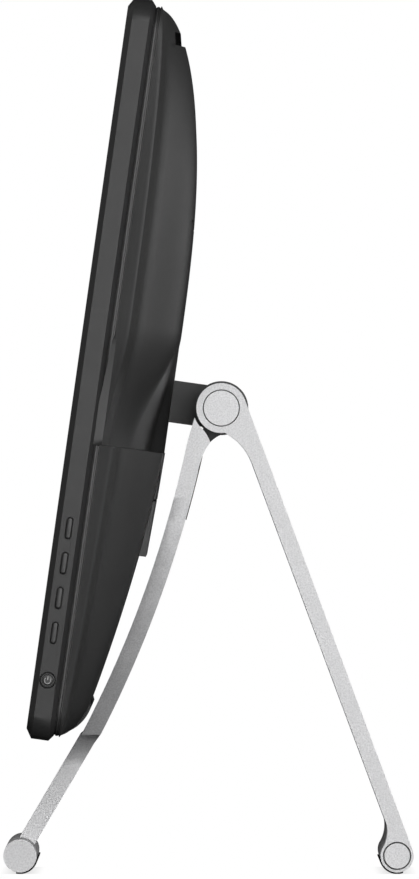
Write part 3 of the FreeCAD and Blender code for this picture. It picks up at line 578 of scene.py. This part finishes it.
def stations(low, high, pitch, steps, ends):
    """Grid lines from low to high: an even pitch, a close pair at each step, and closer ones at the ends."""
    values = {low, high}
    count = int((high - low) / pitch)
    values.update(low + (high - low) * i / count for i in range(count + 1))
    for value in steps:
        values = {v for v in values if abs(v - value) > pitch * 0.3}
        values.update((value - STEP_HALF, value + STEP_HALF))
    for gap in END_GAPS:
        values.add(low + gap if "low" in ends else low)
        values.add(high - gap if "high" in ends else high)
    return sorted(values)


def shell_grid(rows, across):
    """The shell's outside as a grid of points, and each point's place across and up."""
    points, flat = [], []
    for u in rows:
        shift = corner_inset(u)
        for x in across:
            e = HALF_W - abs(x)
            real = (abs(x) - shift * max(1 - e / CORNER_FADE, 0)) * (1 if x >= 0 else -1)
            depth = dome_depth(real, u, HALF_W - shift - abs(real))
            points.append(panel(real, depth, u))
            flat.append((real, u))
    return points, flat


def grid_faces(height, width, flat):
    """Faces between grid points, left out where all four corners are in a hole."""
    faces = []
    for i in range(height - 1):
        for j in range(width - 1):
            near, far = i * width + j, (i + 1) * width + j
            quad = (near, near + 1, far + 1, far)
            if not all(in_hole(*flat[k]) for k in quad):
                faces.append(quad)
    return faces


def grid_rim(last, width):
    """The grid's outer points in order, all the way round."""
    rim = list(range(width)) + [i * width + width - 1 for i in range(1, last + 1)]
    rim += [last * width + j for j in range(width - 2, -1, -1)]
    return rim + [i * width for i in range(last - 1, 0, -1)]


def add_rim_rings(points, faces, flat, rim):
    """Carries the shell's edge down past the groove to the bezel."""
    centre_u = (LOW_U + HIGH_U) / 2
    above = rim
    for inset, n in RIM_RINGS:
        ring = []
        for k in rim:
            x, u = flat[k]
            ring.append(len(points))
            drawn_u = u + (centre_u - u) * inset / centre_u
            points.append(panel(x * (1 - inset / HALF_W), n, drawn_u))
        for a in range(len(rim)):
            b = (a + 1) % len(rim)
            faces.append((above[a], above[b], ring[b], ring[a]))
        above = ring


def rear_shell(material):
    steps_u = (*SLOT_U, DOME_U[0], *WINDOW_U, *BAY_U, LIP_U, *SEAM_U)
    rows = stations(LOW_U, HIGH_U, ROW_PITCH, steps_u, ("low", "high"))
    steps_x = (GRILLE_X, SLOT_X, WINDOW_X, BAY_X, LIP_X)
    half = stations(0, HALF_W, COLUMN_PITCH, steps_x, ("high",))
    across = [-x for x in reversed(half[1:])] + half
    points, flat = shell_grid(rows, across)
    faces = grid_faces(len(rows), len(across), flat)
    add_rim_rings(points, faces, flat, grid_rim(len(rows) - 1, len(across)))
    shell = build("rear_shell", points, faces, material, "display", "shell_plastic")
    wall = shell.modifiers.new("wall", "SOLIDIFY")
    wall.thickness = SHELL_WALL * MM
    wall.offset = -1
    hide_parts("rear_cover")


KEY_N = 6.4
KEY_U = (95.5, 79.75, 64.0, 48.25)
KEY_LENGTH, KEY_WIDTH = 9.75, 2.6
POWER_U = 26.9


def stadium(x, u0, length, width, segments=12):
    """An upright oval of the given overall size, at x across and centred on u0."""
    radius = width / 2
    reach = length / 2 - radius
    ring = []
    for end in (0, 1):
        for i in range(segments + 1):
            a = math.pi * (i / segments + end)
            middle = u0 + (reach if end == 0 else -reach)
            ring.append(panel(x, KEY_N + radius * math.cos(a), middle + radius * math.sin(a)))
    return ring


# Growth of the oval and its place across, from the hidden flange to the crown
KEY_PROFILE = (
    (1.6, 267.0), (1.6, 268.2), (0.0, 268.2), (0.0, 271.25), (-0.08, 271.42),
    (-0.24, 271.56), (-0.5, 271.66), (-0.95, 271.74), (-1.5, 271.78), (-2.1, 271.8),
)


def menu_keys(material):
    for number, u in enumerate(KEY_U, 1):
        rings = [stadium(x, u, KEY_LENGTH + grow, KEY_WIDTH + grow) for grow, x in KEY_PROFILE]
        name, body = f"menu_key_cap_{number}", f"menu_key_{number}"
        key = build(name, *stacked(rings), material, body, "key_plastic", 50)
        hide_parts(f"menu_button_{number}")


def disc_ring(x, radius, centre_n, centre_u, count=56):
    ring = []
    for i in range(count):
        a = 2 * math.pi * i / count
        ring.append(panel(x, centre_n + radius * math.cos(a), centre_u + radius * math.sin(a)))
    return ring


# Radius and place across, from the hidden flange, over the rim and its groove, to the middle
POWER_PROFILE = (
    (4.35, 267.0), (4.35, 268.2), (3.42, 268.2), (3.42, 271.2), (3.34, 271.42),
    (3.15, 271.56), (2.9, 271.62), (2.7, 271.6), (2.62, 271.5), (2.56, 271.3),
    (2.38, 271.3), (2.32, 271.46), (2.2, 271.52), (1.2, 271.52), (0.3, 271.5),
)
SYMBOL_FOOT, SYMBOL_TOP = 271.45, 271.74
ARC_START, ARC_SWEEP, ARC_STEPS = 135, 270, 36
ARC_DROP = 0.1
ARC_SECTION = ((1.16, SYMBOL_FOOT), (1.18, 271.72), (1.54, 271.72), (1.56, SYMBOL_FOOT))
BAR_OUTLINE = ((-0.22, 0.1), (0.22, 0.1), (0.22, 1.8), (0, 1.88), (-0.22, 1.8))


def power_key(material, ink):
    rings = [disc_ring(x, r, KEY_N, POWER_U) for r, x in POWER_PROFILE]
    key = build("power_key_cap", *stacked(rings), material, "power_key", "key_plastic", 50)
    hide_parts("power_button")
    build("power_symbol", *symbol_mesh(), ink, "power_key", "key_plastic")


def symbol_mesh():
    """The open ring and the upright bar of the power symbol."""
    sweep = [math.radians(ARC_START + ARC_SWEEP * i / ARC_STEPS) for i in range(ARC_STEPS + 1)]
    points, faces = [], []
    for a in sweep:
        for r, x in ARC_SECTION:
            points.append(panel(x, KEY_N + r * math.cos(a), POWER_U - ARC_DROP + r * math.sin(a)))
    for i in range(len(sweep) - 1):
        for j in range(4):
            k = (j + 1) % 4
            faces.append((i * 4 + j, i * 4 + k, (i + 1) * 4 + k, (i + 1) * 4 + j))
    faces += [(0, 1, 2, 3), tuple(len(sweep) * 4 - 4 + j for j in range(4))]
    base = len(points)
    for x in (SYMBOL_FOOT, SYMBOL_TOP):
        for n, u in BAR_OUTLINE:
            points.append(panel(x, KEY_N + n, POWER_U + u))
    faces += [tuple(base + i for i in range(5)), tuple(base + 5 + i for i in range(5))]
    faces += [(base + i, base + (i + 1) % 5, base + 5 + (i + 1) % 5, base + 5 + i) for i in range(5)]
    return points, faces


def main():
    bpy.context.scene.view_settings.view_transform = "Standard"
    add_camera()
    add_world()
    add_floor()
    for light in LIGHTS:
        add_area(*light)
    materials = make_materials()
    finish_nodes(materials)
    rear_shell(materials["shell_plastic"])
    menu_keys(materials["key_plastic"])
    power_key(materials["key_plastic"], soft("symbol_ink", grey(0.42), 0.5, 0.2, 0.01))
    for name, width in SOFT_EDGES.items():
        soften(name, width)


main()
